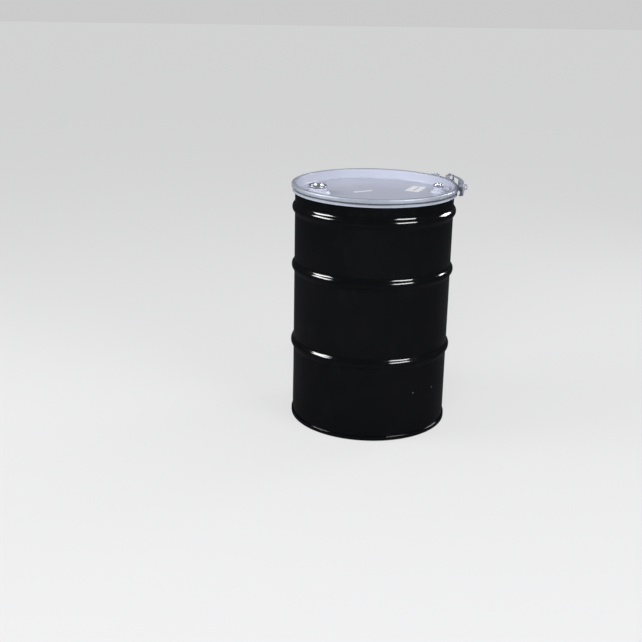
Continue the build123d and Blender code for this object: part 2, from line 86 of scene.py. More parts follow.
# Cover
SKIRT_R, _, COVER_TOP = size_of("lid_panel")
SKIRT_H = 0.0107
WALL_R, WALL_LEAN = 0.283, 0.002         # recess wall of the cover, and how far its foot stands inwards
PANEL_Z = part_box("label_card")[0].z
PANEL_EDGE_R = 0.2725          # where the flat panel starts inside the recess wall's foot
PANEL_WAVE = 0.0004
FLAT_RIM, FLAT_ROUND_BOSS = 0.045, 0.03  # widths over which the panel's unevenness fades out
PANEL_GRID = 0.008             # spacing of the panel's triangles
ROW_RATIO = 0.866              # height of an even triangle over its side

# Bungs: the neck that the cover is crimped over, the plug's thread, cup, socket and thread pitch,
# and the divisions round the boss
BUNGS = {
    "main": dict(neck=0.033, thread=0.0298, cup=0.024, socket=0.0100, pitch=0.0254 / 11.5, turns=96),
    "vent": dict(neck=0.0164, thread=0.0132, cup=0.0106, socket=0.0047, pitch=0.0254 / 14, turns=72),
}
BUNG_PLACES = {bung: middle_of(f"{bung}_plug") for bung in BUNGS}
BOSS_RISE, BOSS_FLAT, BOSS_SPREAD, BOSS_FOOT = 0.011, 0.0075, 0.006, 0.0026
BOSS_REACH = {bung: s["neck"] + BOSS_FLAT + BOSS_SPREAD + BOSS_FOOT for bung, s in BUNGS.items()}
COLLAR_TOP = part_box("main_plug_gasket")[0].z
COLLAR_GAP = 0.0001            # between a flange's neck and the collar round it
CRIMP = 0.0016
CUP_DEPTH, CUP_WALL = 0.006, 0.0022
SOCKET_DEPTH, SOCKET_WALL, SOCKET_BASE = 0.0068, 0.0022, 0.0018
SOCKET_CORNER = 9.0            # power that rounds the socket's corners; a higher one leaves them sharper
PLUG_MIDDLE = 0.001            # radius of the flats that close a plug's surface
SEAT_GAP = 0.0001              # between a plug's head and its washer
THREAD_ROW = 0.00032           # height of one row of the thread's mesh
THREAD_DEPTH, THREAD_TAPER = 0.0013, 0.0009
THREAD_END = 0.0008            # bare neck between the thread and the head
HEAD_UNDERCUT = 0.0009         # how much narrower than the thread that neck is
CUP_SLOPE = 0.0015             # how far the cup narrows towards its floor
CORNER_ROOM, CORNER_REACH = 0.0075, 0.006  # room beside the socket for a rounded corner, and its start

# Closing ring
RING_R = -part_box("ring_band")[0].x
_, HEM_Z, RING_TOP = size_of("ring_band")
RING_T = 0.0016
RING_LEG_R, GROOVE_R, HEM_R = 0.289, 0.294, 0.2974
WEB_FOOT, GROOVE_Z = 0.871, 0.8664
LATCH_AZ = radians(18)
GAP = (radians(4), radians(8))           # the ring's open stretch, as directions past the latch's
RING_SWAY, RING_OUTSIDE = 0.00016, (0.2925, 0.2965)      # depth, and radii over which it sets in
RING_EDGE, RING_EDGE_ANGLE = 0.0003, radians(55)
SHEET_EDGE, TONGUE_EDGE, RIVET_EDGE = 0.0004, 0.0005, 0.0002   # widths of the latch's rounded edges

# Meshes
TURNS = 288                    # divisions round the drum
RING_TURNS = TURNS + 60
PLUG_TURNS = 160
BEND_STEP = radians(10)        # longest step along a rounded corner
SMOOTH_UP_TO = radians(34)     # sharper edges than this stay sharp in the shading
WELD_TOGETHER = 2e-6           # distance below which two vertices of a CAD mesh are one


# ---------------------------------------------------------------- outlines

def rounded(corners, radii, bend_step=BEND_STEP):
    """Points of a run of straight lines whose corners are rounded by arcs of the given radii."""
    corners = [Vector(c) for c in corners]
    points = [corners[0]]
    for before, corner, after, radius in zip(corners, corners[1:], corners[2:], radii):
        back, ahead = (before - corner).normalized(), (after - corner).normalized()
        turn = pi - back.angle(ahead)
        centre = corner + (back + ahead).normalized() * (radius / cos(turn / 2))
        start = corner + back * (radius * tan(turn / 2)) - centre
        end = corner + ahead * (radius * tan(turn / 2)) - centre
        steps = max(2, ceil(turn / bend_step))
        for i in range(steps + 1):
            t = i / steps
            points.append(centre + (start * sin((1 - t) * turn) + end * sin(t * turn)) / sin(turn))
    points.append(corners[-1])
    return points


def spaced(points, step):
    """The same line with extra points, so that no stretch is longer than step."""
    line = [points[0]]
    for a, b in zip(points, points[1:]):
        parts = max(1, ceil((b - a).length / step))
        line += [a.lerp(b, i / parts) for i in range(1, parts + 1)]
    return line


def beside(points, distance):
    """The line at a distance to the right of another, seen along its direction."""
    line = []
    for i, point in enumerate(points):
        back = (point - points[i - 1]).normalized() if i else None
        ahead = (points[i + 1] - point).normalized() if i + 1 < len(points) else None
        along = ((back or ahead) + (ahead or back)).normalized()
        side = Vector((along.y, -along.x))
        stretch = 1.0
        if back and ahead:
            stretch = 1 / max(0.5, side.dot(Vector((ahead.y, -ahead.x))))
        line.append(point + side * (distance * stretch))
    return line


def sheet_outline(line, thickness=SHEET):
    """Closed outline of a sheet that lies to the right of a line."""
    return line + beside(line, thickness)[::-1]


def ramp_up(value, low, high):
    """0 below low, 1 above high, and a smooth climb between."""
    t = min(1.0, max(0.0, (value - low) / (high - low)))
    return t * t * (3 - 2 * t)


def turn_between(a, b):
    """Smallest angle between two directions, with its sign."""
    return (a - b + pi) % (2 * pi) - pi


def circle_angles(count=TURNS, extra=()):
    """Angles of a full circle, evenly spaced, with closer ones where a narrow feature needs them."""
    even = [2 * pi * i / count for i in range(count)]
    kept = [a for a in even if all(abs(a - e) > 0.2 * pi / count for e in extra)]
    return sorted(kept + list(extra))


# ---------------------------------------------------------------- meshes

def new_object(name, data):
    """New object in the scene."""
    thing = bpy.data.objects.new(name, data)
    bpy.context.scene.collection.objects.link(thing)
    return thing


def plain_mesh(name, vertices, faces):
    """New mesh made of vertices and faces."""
    mesh = bpy.data.meshes.new(name)
    mesh.from_pydata(vertices, [], faces)
    mesh.validate()
    return mesh


def formed_mesh(name, form):
    """New mesh made of what a bmesh holds, which is freed."""
    mesh = bpy.data.meshes.new(name)
    form.to_mesh(mesh)
    form.free()
    return mesh


def add_piece(mesh, body, finish, node):
    """New smoothly shaded piece named after its mesh, which rides on a body and stands for a CAD node."""
    mesh.materials.append(finish)
    mesh.shade_smooth()
    mesh.set_sharp_from_angle(angle=SMOOTH_UP_TO)
    piece = new_object(mesh.name, mesh)
    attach(piece, body)
    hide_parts(node)
    return piece


def lathe_mesh(name, outline, angles, shift, closed=True):
    """Mesh of a closed outline turned about the Z axis, with each point's radius shifted by a function."""
    vertices, faces = [], []
    rows, count = len(outline), len(angles)
    for angle in angles:
        c, s = cos(angle), sin(angle)
        for radius, z in outline:
            r = radius + shift(angle, radius, z)
            vertices.append((r * c, r * s, z))
    for i in range(count if closed else count - 1):
        a, b = i * rows, (i + 1) % count * rows
        for j in range(rows):
            k = (j + 1) % rows
            faces.append((a + j, b + j, b + k, a + k))
    if not closed:
        faces.append(tuple(range(rows)))
        faces.append(tuple((count - 1) * rows + j for j in reversed(range(rows))))
    return plain_mesh(name, vertices, faces)


def recalculated(piece):
    """Makes all faces of a closed piece look outwards."""
    form = bmesh.new()
    form.from_mesh(piece.data)
    bmesh.ops.recalc_face_normals(form, faces=form.faces)
    form.to_mesh(piece.data)
    form.free()
    return piece


def soften_edges(piece, width, angle=radians(40)):
    """Rounds a piece's sharp edges with a bevel."""
    bevel = piece.modifiers.new("edges", "BEVEL")
    bevel.width = width
    bevel.segments = 2
    bevel.limit_method = "ANGLE"
    bevel.angle_limit = angle
    bevel.harden_normals = False


def thicken(piece, name, thickness):
    """Gives a surface its thickness, behind its face."""
    solid = piece.modifiers.new(name, "SOLIDIFY")
    solid.thickness = thickness
    solid.offset = -1
    return solid


# ---------------------------------------------------------------- body

WELD_AZ = radians(142)         # direction of the wall's welded side seam
WELD_WIDTH = 0.0022            # half width of the weld bead
WELD_RISE = 0.00035
WELD_SCALE = 0.011             # length of one ripple along the weld
WELD_DIP, WELD_DIP_WIDTH = 0.0003, 0.009
STRAIGHT_FOOT = (0.022, 0.07)  # heights between which the unevenness sets in above the bottom seam
STRAIGHT_TOP = (0.835, 0.862)  # heights between which it dies out below the curl
WAVE_OUT, RIPPLE_OUT = 0.00075, 0.00022
DENTS = (                      # direction, height, half width, depth of shallow knocks in the wall
    (radians(-128), 0.455, 0.060, 0.0011),
    (radians(-57), 0.165, 0.045, 0.0012),
    (radians(-92), 0.700, 0.080, 0.0007),
    (radians(38), 0.430, 0.055, 0.0015),
    (radians(100), 0.680, 0.050, 0.0013),
    (radians(188), 0.180, 0.065, 0.0016),
)


def wall_shift(angle, radius, z):
    """How far the rolled wall strays from a true circle: slow waves, shallow dents and the side weld."""
    free = ramp_up(z, *STRAIGHT_FOOT) * (1 - ramp_up(z, *STRAIGHT_TOP))
    waves = noise.noise(Vector((1.9 * cos(angle), 1.9 * sin(angle), 2.6 * z + 4.0)))
    ripples = noise.noise(Vector((7.0 * cos(angle), 7.0 * sin(angle), 1.7 * z + 9.0)))
    shift = WAVE_OUT * waves + RIPPLE_OUT * ripples
    for direction, height, half_width, depth in DENTS:
        across = turn_between(angle, direction) * BODY_R
        shift -= depth * exp(-(across ** 2 + (z - height) ** 2) / half_width ** 2)
    across = turn_between(angle, WELD_AZ) * BODY_R
    ripple = 1 + 0.25 * sin(z * 2 * pi / WELD_SCALE)
    shift += WELD_RISE * ripple * exp(-(across / WELD_WIDTH) ** 2)
    shift -= WELD_DIP * exp(-(across / WELD_DIP_WIDTH) ** 2)
    return free * shift


def body_line():
    """Inside line of the wall, from the hook in the bottom seam up to the end of the rolled edge."""
    hook_r = CHIME_R - SHEET - SEAM_GAP
    corners = [(hook_r, HOOK_TOP), (hook_r, BODY_FOOT + SHEET), (BODY_R, BODY_FOOT + SHEET)]
    bends = [HOOK_BEND, HOOK_BEND]
    crest = BODY_R + BEAD_OUT
    for z in BEAD_Z:
        corners += [(BODY_R, z - BEAD_HALF), (crest, z - BEAD_CREST)]
        corners += [(crest, z + BEAD_CREST), (BODY_R, z + BEAD_HALF)]
        bends += BEAD_BENDS
    middle = Vector((BODY_R + CURL_R, CURL_TOP - CURL_R))
    line = spaced(rounded(corners + [(BODY_R, middle.y)], bends, radians(7)), 0.009)
    for i in range(1, CURL_STEPS + 1):
        angle = pi - CURL_SWEEP * i / CURL_STEPS
        line.append(middle + Vector((cos(angle), sin(angle))) * CURL_R)
    return line


def make_body(finish):
    """Rolled wall with its beads, curl, side weld and the small unevenness of real sheet."""
    near_weld = [WELD_AZ + radians(0.12) * i for i in range(-9, 10)]
    angles = circle_angles(extra=near_weld)
    mesh = lathe_mesh("body_wall", sheet_outline(body_line()), angles, wall_shift)
    recalculated(add_piece(mesh, "drum", finish, "body_shell"))


def make_bottom(finish):
    """Dished bottom whose edge is folded round the wall's foot into the chime."""
    wall_r = BODY_R - WALL_GAP - SHEET
    hook_r = BODY_R + SHEET + SEAM_GAP
    corners = [
        (0.0004, HEAD_EDGE + HEAD_DISH),
        (0.12, HEAD_EDGE + 0.8 * HEAD_DISH),
        (0.262, HEAD_EDGE),
        (wall_r, HEAD_EDGE),
        (wall_r, 0),
        (CHIME_R, 0),
        (CHIME_R, CHIME_H),
        (hook_r, CHIME_H),
        (hook_r, HEAD_FOLD_END),
    ]
    bends = [0.4, 0.06, 0.005, 0.002, 0.0024, 0.002, 0.00185]
    line = rounded(corners, bends, radians(9))

    def knocks(angle, radius, z):
        waves = noise.noise(Vector((9 * cos(angle), 9 * sin(angle), 3.0)))
        return CHIME_KNOCKS * (waves - 0.6) * ramp_up(radius, *CHIME_OUTSIDE)

    mesh = lathe_mesh("bottom_pan", sheet_outline(spaced(line[::-1], 0.02)), circle_angles(), knocks)
    recalculated(add_piece(mesh, "drum", finish, "bottom_head"))


# ---------------------------------------------------------------- cover

def boss_line(neck):
    """Upper face of a bung's boss as distance from the bung and height, from the panel to the crimped lip."""
    flat_r, collar_r = neck + BOSS_FLAT, neck + COLLAR_GAP + SHEET
    corners = [
        (flat_r + BOSS_SPREAD + BOSS_FOOT, PANEL_Z),
        (flat_r + BOSS_SPREAD, PANEL_Z),
        (flat_r, PANEL_Z + BOSS_RISE),
        (collar_r, PANEL_Z + BOSS_RISE),
        (collar_r, COLLAR_TOP),
        (neck - CRIMP, COLLAR_TOP),
    ]
    return rounded(corners, [0.003, 0.003, 0.0016, 0.0019], radians(12))


def panel_wave(x, y):
    """Slight unevenness of the flat panel, none at its edge and at the bosses."""
    place = Vector((x, y))
    free = 1 - ramp_up(place.length, PANEL_EDGE_R - FLAT_RIM, PANEL_EDGE_R)
    for bung, foot in BOSS_REACH.items():
        free *= ramp_up((place - BUNG_PLACES[bung]).length, foot, foot + FLAT_ROUND_BOSS)
    waves = noise.noise(Vector((7 * x, 7 * y, 2.0))) + 0.35 * noise.noise(Vector((19 * x, 19 * y, 5.0)))
    return PANEL_WAVE * free * waves


def turned_rows(form, line, angles, centre):
    """Adds a surface of revolution about an upright axis and returns its loops of vertices."""
    rows = []
    for radius, z in line:
        places = [(centre.x + radius * cos(a), centre.y + radius * sin(a), z) for a in angles]
        rows.append([form.verts.new(place) for place in places])
    for low, high in zip(rows, rows[1:]):
        for i in range(len(angles)):
            k = (i + 1) % len(angles)
            form.faces.new((low[i], low[k], high[k], high[i]))
    return rows


def fill_panel(form, loops):
    """Fills the flat between the recess wall's foot and the two bosses with an even triangle mesh."""
    points = [v for loop in loops for v in loop]
    edges, start = [], 0
    for loop in loops:
        edges += [(start + i, start + (i + 1) % len(loop)) for i in range(len(loop))]
        start += len(loop)
    bosses = [(BUNG_PLACES[bung], reach) for bung, reach in BOSS_REACH.items()]
    clear = 0.6 * PANEL_GRID  # least distance of a new point from an edge
    last = int(PANEL_EDGE_R / PANEL_GRID) + 1
    for row in range(-last, last + 1):
        for column in range(-last, last + 1):
            place = Vector((PANEL_GRID * (column + 0.5 * (row % 2)), PANEL_GRID * row * ROW_RATIO))
            if place.length > PANEL_EDGE_R - clear:
                continue
            if any((place - middle).length < reach + clear for middle, reach in bosses):
                continue
            points.append(form.verts.new((place.x, place.y, PANEL_Z + panel_wave(place.x, place.y))))
    flat = [Vector((v.co.x, v.co.y)) for v in points]
    _, _, faces, *_ = delaunay_2d_cdt(flat, edges, [], 0, 1e-7)
    for face in faces:
        middle = sum((flat[i] for i in face), Vector((0, 0))) / len(face)
        if not any((middle - centre).length < reach for centre, reach in bosses):
            form.faces.new([points[i] for i in face])


def make_cover(finish):
    """Pressed cover: skirt, rim, recess wall and panel, with a boss and a crimped collar at each bung."""
    corners = [
        (SKIRT_R, COVER_TOP - SKIRT_H),
        (SKIRT_R, COVER_TOP),
        (WALL_R, COVER_TOP),
        (WALL_R - WALL_LEAN, PANEL_Z),
        (PANEL_EDGE_R, PANEL_Z),
    ]
    rim = spaced(rounded(corners, [0.0046, 0.004, 0.007], radians(8)), 0.006)
    form = bmesh.new()
    loops = [turned_rows(form, rim, circle_angles(), Vector((0, 0)))[-1]]
    for bung, sizes in BUNGS.items():
        boss = boss_line(sizes["neck"])
        loops.append(turned_rows(form, boss, circle_angles(sizes["turns"]), BUNG_PLACES[bung])[0])
    fill_panel(form, loops)
    bmesh.ops.recalc_face_normals(form, faces=form.faces)
    top = max(form.faces, key=lambda f: f.calc_center_median().z)
    if top.normal.z < 0:
        bmesh.ops.reverse_faces(form, faces=form.faces)
    piece = add_piece(formed_mesh("cover_pressing", form), "cover", finish, "lid_panel")
    thicken(piece, "sheet", SHEET).use_even_offset = True


# ---------------------------------------------------------------- bungs

def square_radius(angle, half):
    """Distance from the middle of a rounded square to its edge in a direction."""
    return half / (abs(cos(angle)) ** SOCKET_CORNER + abs(sin(angle)) ** SOCKET_CORNER) ** (1 / SOCKET_CORNER)


def thread_radius(angle, z, crest, pitch, foot, head_under):
    """Radius of the screw thread, which starts shallow at the plug's foot and runs out under its head."""
    phase = z / pitch - angle / (2 * pi)
    tooth = min(1.0, max(0.0, 1.15 * abs(2 * (phase - floor(phase)) - 1) - 0.08))
    full = min(1.0, (z - foot) / (1.2 * pitch)) * ramp_up(head_under - z, 0.0004, 0.002)
    taper = 1 - ramp_up(z - foot, 0, pitch)
    return crest - THREAD_DEPTH * tooth * max(0.25, full) - THREAD_TAPER * taper


def plug_rows(sizes, head_r, foot, top, head_under):
    """Loops of a plug's surface as shape, size and height, from under its socket, up the thread and
    over the head, to the socket's floor."""
    thread, cup, half = sizes["thread"], sizes["cup"], sizes["socket"]
    cup_floor = top - CUP_DEPTH
    cup_under = cup_floor - CUP_WALL
    socket_floor = cup_floor - SOCKET_DEPTH
    socket_under = socket_floor - SOCKET_BASE
    inner = thread - CUP_WALL
    under = [Vector((inner, cup_under)), Vector((inner, foot))]
    if inner > half + CORNER_ROOM:  # so on the larger plug only
        under = rounded([(half + CORNER_REACH, cup_under), *under, (thread - 0.0006, foot)], [0.0010, 0.0002])
    head = [
        (thread - HEAD_UNDERCUT, head_under - 0.0006),
        (thread - HEAD_UNDERCUT, head_under),
        (head_r, head_under),
        (head_r, top),
        (cup, top),
        (cup - CUP_SLOPE, cup_floor),
        (half * 1.30, cup_floor),
    ]
    steps = ceil((head_under - foot) / THREAD_ROW)
    thread_top = head_under - THREAD_END
    return [
        ("round", PLUG_MIDDLE, socket_under),
        ("square", half + 0.0016, socket_under),
        ("square", half + SOCKET_WALL, socket_floor - 0.0010),
        ("square", half + SOCKET_WALL, cup_under - 0.0003),
        *(("round", *point) for point in under),
        *(("thread", thread, foot + (thread_top - foot) * i / steps) for i in range(steps + 1)),
        *(("round", *point) for point in rounded(head, [0.0003, 0.0006, 0.0022, 0.0018, 0.0016])),
        ("square", half + 0.0004, cup_floor),
        ("square", half + 0.0001, cup_floor - 0.0001),
        ("square", half, cup_floor - 0.0005),
        ("square", half, socket_floor + 0.0006),
        ("square", half - 0.0006, socket_floor),
        ("round", PLUG_MIDDLE, socket_floor),
    ]


def make_plug(bung, finish):
    """Bung plug: flanged head, dished cup with a square socket, and a screw thread."""
    sizes, middle = BUNGS[bung], BUNG_PLACES[bung]
    head_r, foot, top = size_of(f"{bung}_plug")
    head_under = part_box(f"{bung}_plug_gasket")[1].z + SEAT_GAP
    rows = plug_rows(sizes, head_r, foot, top, head_under)
    vertices, faces = [], []
    for kind, size, z in rows:
        for a in circle_angles(PLUG_TURNS):
            r = size
            if kind == "square":
                r = square_radius(a, size)
            elif kind == "thread":
                r = thread_radius(a, z, size, sizes["pitch"], foot, head_under)
            vertices.append((middle.x + r * cos(a), middle.y + r * sin(a), z))
    for j in range(len(rows) - 1):
        low, high = j * PLUG_TURNS, (j + 1) * PLUG_TURNS
        for i in range(PLUG_TURNS):
            k = (i + 1) % PLUG_TURNS
            faces.append((low + i, low + k, high + k, high + i))
    faces.append(tuple(reversed(range(PLUG_TURNS))))
    faces.append(tuple((len(rows) - 1) * PLUG_TURNS + i for i in range(PLUG_TURNS)))
    mesh = plain_mesh(f"{bung}_bung_plug", vertices, faces)
    recalculated(add_piece(mesh, f"{bung}_plug", finish, f"{bung}_plug"))


# ---------------------------------------------------------------- closing ring and latch

def make_ring(finish):
    """Sprung C-section ring, open at the latch, with a groove under the curl and a flared hem."""
    corners = [
        (RING_LEG_R, RING_TOP),
        (RING_R, RING_TOP),
        (RING_R, WEB_FOOT),
        (GROOVE_R, GROOVE_Z),
        (HEM_R, HEM_Z),
    ]
    line = spaced(rounded(corners, [0.0054, 0.003, 0.0026], radians(8)), 0.004)

    def sway(angle, radius, z):
        waves = noise.noise(Vector((4 * cos(angle), 4 * sin(angle), 40 * z)))
        return RING_SWAY * (waves - 0.7) * ramp_up(radius, *RING_OUTSIDE)

    start, end = LATCH_AZ + GAP[1], LATCH_AZ + GAP[0] + 2 * pi
    angles = [start + (end - start) * i / RING_TURNS for i in range(RING_TURNS + 1)]
    mesh = lathe_mesh("ring_section", sheet_outline(line, RING_T), angles, sway, closed=False)
    piece = recalculated(add_piece(mesh, "closing_ring", finish, "ring_band"))
    soften_edges(piece, RING_EDGE, RING_EDGE_ANGLE)


def refine(node, name, body, finish, edge):
    """Copy of a small latch piece with clean faces and rounded edges, which stands for it."""
    form = bmesh.new()
    form.from_mesh(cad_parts[node].data)
    bmesh.ops.remove_doubles(form, verts=form.verts, dist=WELD_TOGETHER)
    bmesh.ops.dissolve_limit(form, angle_limit=radians(1), verts=form.verts, edges=form.edges)
    bmesh.ops.recalc_face_normals(form, faces=form.faces)
    soften_edges(add_piece(formed_mesh(name, form), body, finish, node), edge)


# ---------------------------------------------------------------- labels

STRIP_LENGTH, STRIP_WIDTH, STRIP_TURN = 0.078, 0.017, radians(23)
CARD_LENGTH, CARD_WIDTH, CARD_TURN = 0.100, 0.055, radians(59)
CARD_RULE = (0.065, 0.0042, -0.001)      # length, width and place across the label of its printed rule
LABEL_COLUMNS, LABEL_ROWS = 24, 12
CORNER_PULL = 0.0006           # how far a label's corner is drawn in
CORNER_LIFT, LIFT_REACH = 0.0011, 0.011  # height of the one corner that has come loose, and how far in


def make_label(node, length, width, turn, finish, rule=(0.0, 0.0, 0.0)):
    """Blank film stuck on the panel, following its unevenness, with a printed rule if it has a size."""
    low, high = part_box(node)
    middle, thickness = middle_of(node), high.z - low.z
    rule_length, rule_width, rule_place = rule
    columns = {length * (i / LABEL_COLUMNS - 0.5) for i in range(LABEL_COLUMNS + 1)}
    columns = sorted(columns | {-rule_length / 2, rule_length / 2})
    rows = {width * (i / LABEL_ROWS - 0.5) for i in range(LABEL_ROWS + 1)}
    rows = sorted(rows | {rule_place - rule_width / 2, rule_place + rule_width / 2})
    far_corner = 0.5 * (length * 0.9 + width)
    vertices, faces, printed = [], [], []
    c, s = cos(turn), sin(turn)
    for v in rows:
        for u in columns:
            at_corner = length / 2 - abs(u) + width / 2 - abs(v) < CORNER_PULL / 2
            inset = 1 - (CORNER_PULL / (width / 2) if at_corner else 0)
            x, y = middle.x + (u * c - v * s) * inset, middle.y + (u * s + v * c) * inset
            lift = CORNER_LIFT * ramp_up(u * 0.9 + v, far_corner - LIFT_REACH, far_corner)
            vertices.append((x, y, PANEL_Z + max(0.0, panel_wave(x, y)) + thickness + lift))
    wide = len(columns)
    for j in range(len(rows) - 1):
        for i in range(wide - 1):
            near = j * wide + i
            faces.append((near, near + 1, near + wide + 1, near + wide))
            u, v = 0.5 * (columns[i] + columns[i + 1]), 0.5 * (rows[j] + rows[j + 1])
            printed.append(float(abs(u) < rule_length / 2 and abs(v - rule_place) < rule_width / 2))
    mesh = plain_mesh(f"{node}_film", vertices, faces)
    mesh.attributes.new("printed", "FLOAT", "FACE").data.foreach_set("value", printed)
    thicken(add_piece(mesh, "cover", finish, node), "film", thickness * 0.8)


# ---------------------------------------------------------------- finishes

def is_socket(value):
    return isinstance(value, bpy.types.NodeSocket)


def add_node(tree, kind, inputs=None, **settings):
    """New node, with a value or a link at each given input."""
    node = tree.nodes.new(kind)
    for key, value in settings.items():
        setattr(node, key, value)
    for socket, value in (inputs or {}).items():
        if is_socket(value):
            tree.links.new(value, node.inputs[socket])
        else:
            node.inputs[socket].default_value = value
    return node


class Finish:
    """A node material built round one Principled shader."""

    def __init__(self, name, **sockets):
        self.material = bpy.data.materials.new(name)
        self.material.use_nodes = True
        self.tree = self.material.node_tree
        self.shader = self.tree.nodes["Principled BSDF"]
        for socket, value in sockets.items():
            self.shader.inputs[socket.replace("_", " ")].default_value = value
        self.place = self.add("ShaderNodeTexCoord").outputs["Object"]

    def add(self, kind, inputs=None, **settings):
        return add_node(self.tree, kind, inputs, **settings)

    def done(self, colour, roughness, normal):
        """Links the shader's inputs and gives the material."""
        for socket, value in (("Base Color", colour), ("Roughness", roughness), ("Normal", normal)):
            self.tree.links.new(value, self.shader.inputs[socket])
        return self.material

    def noise(self, scale, detail=3.0, roughness=0.5, stretch=(1, 1, 1), shift=(0, 0, 0)):
        """Noise in the piece's own coordinates, scaled by an amount along each axis and shifted."""
        mapping = {"Vector": self.place, "Scale": stretch, "Location": shift}
        where = self.add("ShaderNodeMapping", mapping).outputs["Vector"]
        inputs = {"Vector": where, "Scale": scale, "Detail": detail, "Roughness": roughness}
        return self.add("ShaderNodeTexNoise", inputs).outputs["Fac"]

    def cells(self, scale):
        return self.add("ShaderNodeTexVoronoi", {"Vector": self.place, "Scale": scale}).outputs

    def math(self, operation, first, second=0.0, clamp=False):
        inputs = {0: first, 1: second}
        return self.add("ShaderNodeMath", inputs, operation=operation, use_clamp=clamp).outputs[0]

    def times(self, first, second):
        return self.math("MULTIPLY", first, second)

    def between(self, value, low, high, out_low=0.0, out_high=1.0):
        """Value mapped from one range to another, held inside the second."""
        inputs = {"Value": value, "From Min": low, "From Max": high, "To Min": out_low, "To Max": out_high}
        return self.add("ShaderNodeMapRange", inputs, interpolation_type="SMOOTHSTEP").outputs["Result"]

    def mix(self, share, first, second):
        """Colour between two others."""
        first, second = (v if is_socket(v) else (*v, 1.0) for v in (first, second))
        return self.add("ShaderNodeMix", {0: share, 6: first, 7: second}, data_type="RGBA").outputs[2]

    def specks(self, scale, inner, outer, where):
        """Small spots, full within the inner size and gone at the outer one, times another value."""
        spots = self.between(self.cells(scale)["Distance"], inner, outer, 1.0, 0.0)
        return self.times(spots, where)

    def bump(self, height, distance, strength, under=None):
        """Normal of a relief of a height, on top of another relief if there is one."""
        inputs = {"Height": height, "Distance": distance, "Strength": strength}
        if under:
            inputs["Normal"] = under
        return self.add("ShaderNodeBump", inputs).outputs["Normal"]

    def axis_distance(self):
        """Distance of a point from the drum's axis, and its height."""
        parts = self.add("ShaderNodeSeparateXYZ", {"Vector": self.place}).outputs
        flat = self.add("ShaderNodeCombineXYZ", {"X": parts["X"], "Y": parts["Y"]}).outputs["Vector"]
        return self.add("ShaderNodeVectorMath", {0: flat}, operation="LENGTH").outputs["Value"], parts["Z"]

    def near(self, point, reach):
        """1 at a point, 0 beyond a reach from it."""
        inputs = {0: self.place, 1: point}
        away = self.add("ShaderNodeVectorMath", inputs, operation="DISTANCE").outputs["Value"]
        return self.between(away, 0.0, reach, 1.0, 0.0)


# Colours in linear light; the pairs are the darkest and the lightest shade
BLACK_ENAMEL = (0.0018, 0.0021, 0.0028), (0.0034, 0.0037, 0.0045)
BLACK_DUST, BLACK_RUBBED = (0.10, 0.10, 0.11), (0.20, 0.20, 0.21)
PRIMER, WORN_STEEL = (0.13, 0.13, 0.13), (0.22, 0.21, 0.20)
PALE_ENAMEL = (0.50, 0.52, 0.62), (0.54, 0.56, 0.66)
# the first of these is the darker colour in the corner at the foot of the recess wall
PALE_CORNER_DARK, PALE_STREAK, PALE_SPECK = (0.22, 0.22, 0.25), (0.34, 0.35, 0.40), (0.16, 0.16, 0.18)
RING_COLOUR = (0.34, 0.365, 0.43), (0.44, 0.47, 0.55)
LATCH_COLOUR = (0.34, 0.365, 0.43), (0.46, 0.49, 0.57)
PLUG_COLOUR = (0.46, 0.48, 0.54), (0.62, 0.64, 0.71)
RIVET_COLOUR = (0.34, 0.35, 0.37), (0.52, 0.53, 0.55)
# dark zinc of the painted shade in the ring's groove and the plugs' sockets
ZINC_PAINTED_SHADE = (0.06, 0.065, 0.08)
RUBBER_COLOUR, COMPOUND_COLOUR = (0.030, 0.030, 0.031), (0.30, 0.24, 0.15)
FILM_COLOUR = (0.88, 0.88, 0.92), (0.94, 0.94, 0.97)
FILM_SMUDGE, FILM_PRINT = (0.60, 0.60, 0.65), (0.24, 0.25, 0.31)

CHIPS = (                      # direction, height and size of bare spots in the body's paint
    (radians(-65.2), 0.171, 0.0060),
    (radians(-45.7), 0.170, 0.0050),
    (radians(60.0), 0.310, 0.0065),
    (radians(150.0), 0.560, 0.0060),
)


def body_paint():
    """Gloss black enamel: orange peel, a little dust, rubbed beads, fine scuffs and a few chips to primer."""
    f = Finish("body_paint", Metallic=0.0, IOR=1.5)
    radius, z = f.axis_distance()
    dust = f.between(f.noise(26.0, 6.0, 0.65, stretch=(1, 1, 0.45)), 0.5, 0.8)
    scuffs = f.between(f.noise(60.0, 5.0, 0.7, stretch=(1, 1, 26)), 0.66, 0.74)
    on_bead = f.between(radius, CREST_R - 0.0022, CREST_R - 0.0003)
    rubbed = f.times(f.times(scuffs, on_bead), 0.16)
    chips = f.specks(90.0, 0.02, 0.09, f.between(f.noise(7.0, 2.0, shift=(3, 1, 2)), 0.66, 0.70))
    ragged = f.noise(420.0, 4.0, 0.7)
    for direction, height, size in CHIPS:
        point = ((BODY_R + SHEET) * cos(direction), (BODY_R + SHEET) * sin(direction), height)
        here = f.times(f.near(point, size), ragged)
        chips = f.math("MAXIMUM", chips, f.between(here, 0.26, 0.34))
    foot = f.between(z, 0.0035, 0.0)
    worn_foot = f.times(foot, f.between(f.noise(160.0, 4.0), 0.42, 0.6))

    colour = f.mix(f.noise(5.0, 4.0), *BLACK_ENAMEL)
    colour = f.mix(f.times(dust, 0.025), colour, BLACK_DUST)
    colour = f.mix(rubbed, colour, BLACK_RUBBED)
    colour = f.mix(chips, colour, PRIMER)
    colour = f.mix(f.times(worn_foot, 0.55), colour, WORN_STEEL)
    rough = f.between(f.noise(34.0, 5.0, 0.6), 0.3, 0.75, 0.07, 0.14)
    rough = f.math("ADD", rough, f.times(dust, 0.06))
    rough = f.math("ADD", rough, f.times(rubbed, 1.6))
    rough = f.math("ADD", rough, f.times(f.math("MAXIMUM", chips, worn_foot), 0.35), clamp=True)
    peel = f.bump(f.noise(330.0, 2.0), 0.00006, 0.5)
    return f.done(colour, rough, f.bump(f.math("SUBTRACT", 1.0, chips), 0.0002, 0.6, under=peel))


